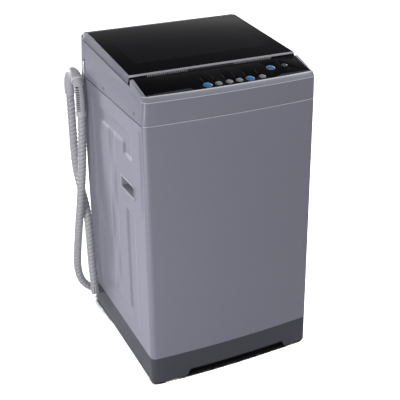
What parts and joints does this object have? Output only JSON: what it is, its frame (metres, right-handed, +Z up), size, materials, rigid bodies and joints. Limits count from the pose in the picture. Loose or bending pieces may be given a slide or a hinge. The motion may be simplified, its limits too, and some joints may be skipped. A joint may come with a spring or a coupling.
{
  "type": "top load washing machine",
  "caption": "Compact top load washing machine: steel cabinet on a plastic base, glass lid, sloping push-button panel, sprung tub with basket and pulsator, and a drain hose hooked to its side.",
  "frame": {"origin": "on the floor, under the middle of the cabinet in width and of the machine in depth, hose left out", "axes": "+Z up, +X to the machine's right as seen from its front, -Y towards the user and the control panel"},
  "size_m": [0.5758, 0.5881, 0.9429],
  "materials": {
    "painted_steel": "satin metallic grey paint",
    "cover_plastic": "grey moulded plastic, semi-gloss",
    "base_plastic": "dark grey moulded plastic",
    "smoked_glass": "black tinted safety glass, polished",
    "gloss_black": "black, high gloss",
    "black_plastic": "black, satin",
    "blue_button": "translucent blue, glossy",
    "grey_button": "grey, satin",
    "dark_button": "dark grey, satin",
    "grey_plastic": "light grey, satin",
    "hose_plastic": "light grey ribbed hose plastic",
    "white_plastic": "off-white polypropylene",
    "rubber": "black rubber",
    "stainless": "brushed stainless steel",
    "galvanised": "zinc-coated steel",
    "cast_aluminium": "die-cast, unpainted",
    "circuit_board": "coated circuit board"
  },
  "bodies": {
    "cabinet": {"base_frame": "base_plastic", "rear_foot_left": "rubber", "rear_foot_right": "rubber", "cabinet_shell": "painted_steel", "rear_panel": "galvanised", "hand_grip_left": "grey_plastic", "hand_grip_right": "grey_plastic", "cord_gland": "black_plastic", "top_cover": "cover_plastic", "control_fascia": "gloss_black", "control_board": "circuit_board", "lid_switch": "black_plastic", "water_spout": "white_plastic", "inlet_valve": "white_plastic", "level_sensor": "black_plastic", "hanger_rod_front_left": "galvanised", "hanger_spring_front_left": "stainless", "hanger_rod_front_right": "galvanised", "hanger_spring_front_right": "stainless", "hanger_rod_rear_left": "galvanised", "hanger_spring_rear_left": "stainless", "hanger_rod_rear_right": "galvanised", "hanger_spring_rear_right": "stainless", "drain_pump": "white_plastic", "drain_bellows": "rubber", "drain_hose": "hose_plastic", "drain_elbow": "hose_plastic", "hose_cuff": "hose_plastic", "hose_hook": "grey_plastic", "hose_strap": "white_plastic"},
    "lid": {"lid_frame": "grey_plastic", "lid_glass": "smoked_glass", "hinge_pin_left": "stainless", "hinge_pin_right": "stainless", "lid_magnet": "stainless"},
    "front_foot_left": {"front_foot_left": "rubber"},
    "front_foot_right": {"front_foot_right": "rubber"},
    "tub": {"outer_tub": "white_plastic", "tub_ring": "white_plastic", "tub_seal": "rubber", "drive_support": "galvanised", "gearbox": "cast_aluminium", "drive_motor": "cast_aluminium", "drive_belt": "rubber"},
    "basket": {"basket": "stainless", "balance_ring": "white_plastic", "basket_hub": "cast_aluminium"},
    "filter": {"lint_filter": "white_plastic"},
    "pulsator": {"pulsator": "white_plastic", "wash_shaft": "stainless"},
    "driven_pulley": {"driven_pulley": "cast_aluminium"},
    "motor_rotor": {"motor_pulley": "cast_aluminium"},
    "power_button": {"power_button": "dark_button"},
    "start_button": {"start_button": "blue_button"},
    "spin_button": {"spin_button": "grey_button"},
    "cycle_button": {"cycle_button": "blue_button"},
    "rinse_button": {"rinse_button": "grey_button"},
    "wash_button": {"wash_button": "grey_button"},
    "level_button": {"level_button": "grey_button"},
    "delay_button": {"delay_button": "blue_button"}
  },
  "joints": [
    {"name": "lid_hinge", "type": "hinge", "parent": "cabinet", "child": "lid", "pos_m": [0, 0.23, 0.92764], "axis": [-1, 0, 0], "range_deg": [0, 95]},
    {"name": "tub_suspension", "type": "slide", "parent": "cabinet", "child": "tub", "axis": [0, 0, 1], "range_m": [-0.015, 0.006], "stiffness_N_per_m": 20000, "springref_m": 0.01187, "deforming": ["hanger_spring_front_left", "hanger_spring_front_right", "hanger_spring_rear_left", "hanger_spring_rear_right", "drain_bellows"]},
    {"name": "basket_spin", "type": "hinge", "parent": "tub", "child": "basket", "pos_m": [0, 0.022, 0.4], "axis": [0, 0, 1], "continuous": true},
    {"name": "filter_pull", "type": "slide", "parent": "basket", "child": "filter", "axis": [0, -1, 0], "range_m": [0, 0.03]},
    {"name": "pulsator_turn", "type": "hinge", "parent": "tub", "child": "pulsator", "pos_m": [0, 0.022, 0.36], "axis": [0, 0, 1], "continuous": true},
    {"name": "driven_pulley_turn", "type": "hinge", "parent": "tub", "child": "driven_pulley", "pos_m": [0, 0.022, 0.176], "axis": [0, 0, 1], "continuous": true},
    {"name": "motor_turn", "type": "hinge", "parent": "tub", "child": "motor_rotor", "pos_m": [0.126, 0.022, 0.176], "axis": [0, 0, 1], "continuous": true},
    {"name": "front_foot_left_turn", "type": "hinge", "parent": "cabinet", "child": "front_foot_left", "pos_m": [-0.217, -0.22, 0.016], "axis": [0, 0, 1], "continuous": true},
    {"name": "front_foot_right_turn", "type": "hinge", "parent": "cabinet", "child": "front_foot_right", "pos_m": [0.217, -0.22, 0.016], "axis": [0, 0, 1], "continuous": true},
    {"name": "power_press", "type": "slide", "parent": "cabinet", "child": "power_button", "axis": [0, 0.2075, -0.9782], "range_m": [0, 0.001], "stiffness_N_per_m": 600},
    {"name": "start_press", "type": "slide", "parent": "cabinet", "child": "start_button", "axis": [0, 0.2075, -0.9782], "range_m": [0, 0.001], "stiffness_N_per_m": 600},
    {"name": "spin_press", "type": "slide", "parent": "cabinet", "child": "spin_button", "axis": [0, 0.2075, -0.9782], "range_m": [0, 0.001], "stiffness_N_per_m": 600},
    {"name": "cycle_press", "type": "slide", "parent": "cabinet", "child": "cycle_button", "axis": [0, 0.2075, -0.9782], "range_m": [0, 0.001], "stiffness_N_per_m": 600},
    {"name": "rinse_press", "type": "slide", "parent": "cabinet", "child": "rinse_button", "axis": [0, 0.2075, -0.9782], "range_m": [0, 0.001], "stiffness_N_per_m": 600},
    {"name": "wash_press", "type": "slide", "parent": "cabinet", "child": "wash_button", "axis": [0, 0.2075, -0.9782], "range_m": [0, 0.001], "stiffness_N_per_m": 600},
    {"name": "level_press", "type": "slide", "parent": "cabinet", "child": "level_button", "axis": [0, 0.2075, -0.9782], "range_m": [0, 0.001], "stiffness_N_per_m": 600},
    {"name": "delay_press", "type": "slide", "parent": "cabinet", "child": "delay_button", "axis": [0, 0.2075, -0.9782], "range_m": [0, 0.001], "stiffness_N_per_m": 600}
  ],
  "couplings": [
    {"joint": "driven_pulley_turn", "follows": "pulsator_turn", "ratio": 4},
    {"joint": "motor_turn", "follows": "pulsator_turn", "ratio": 13.021}
  ]
}
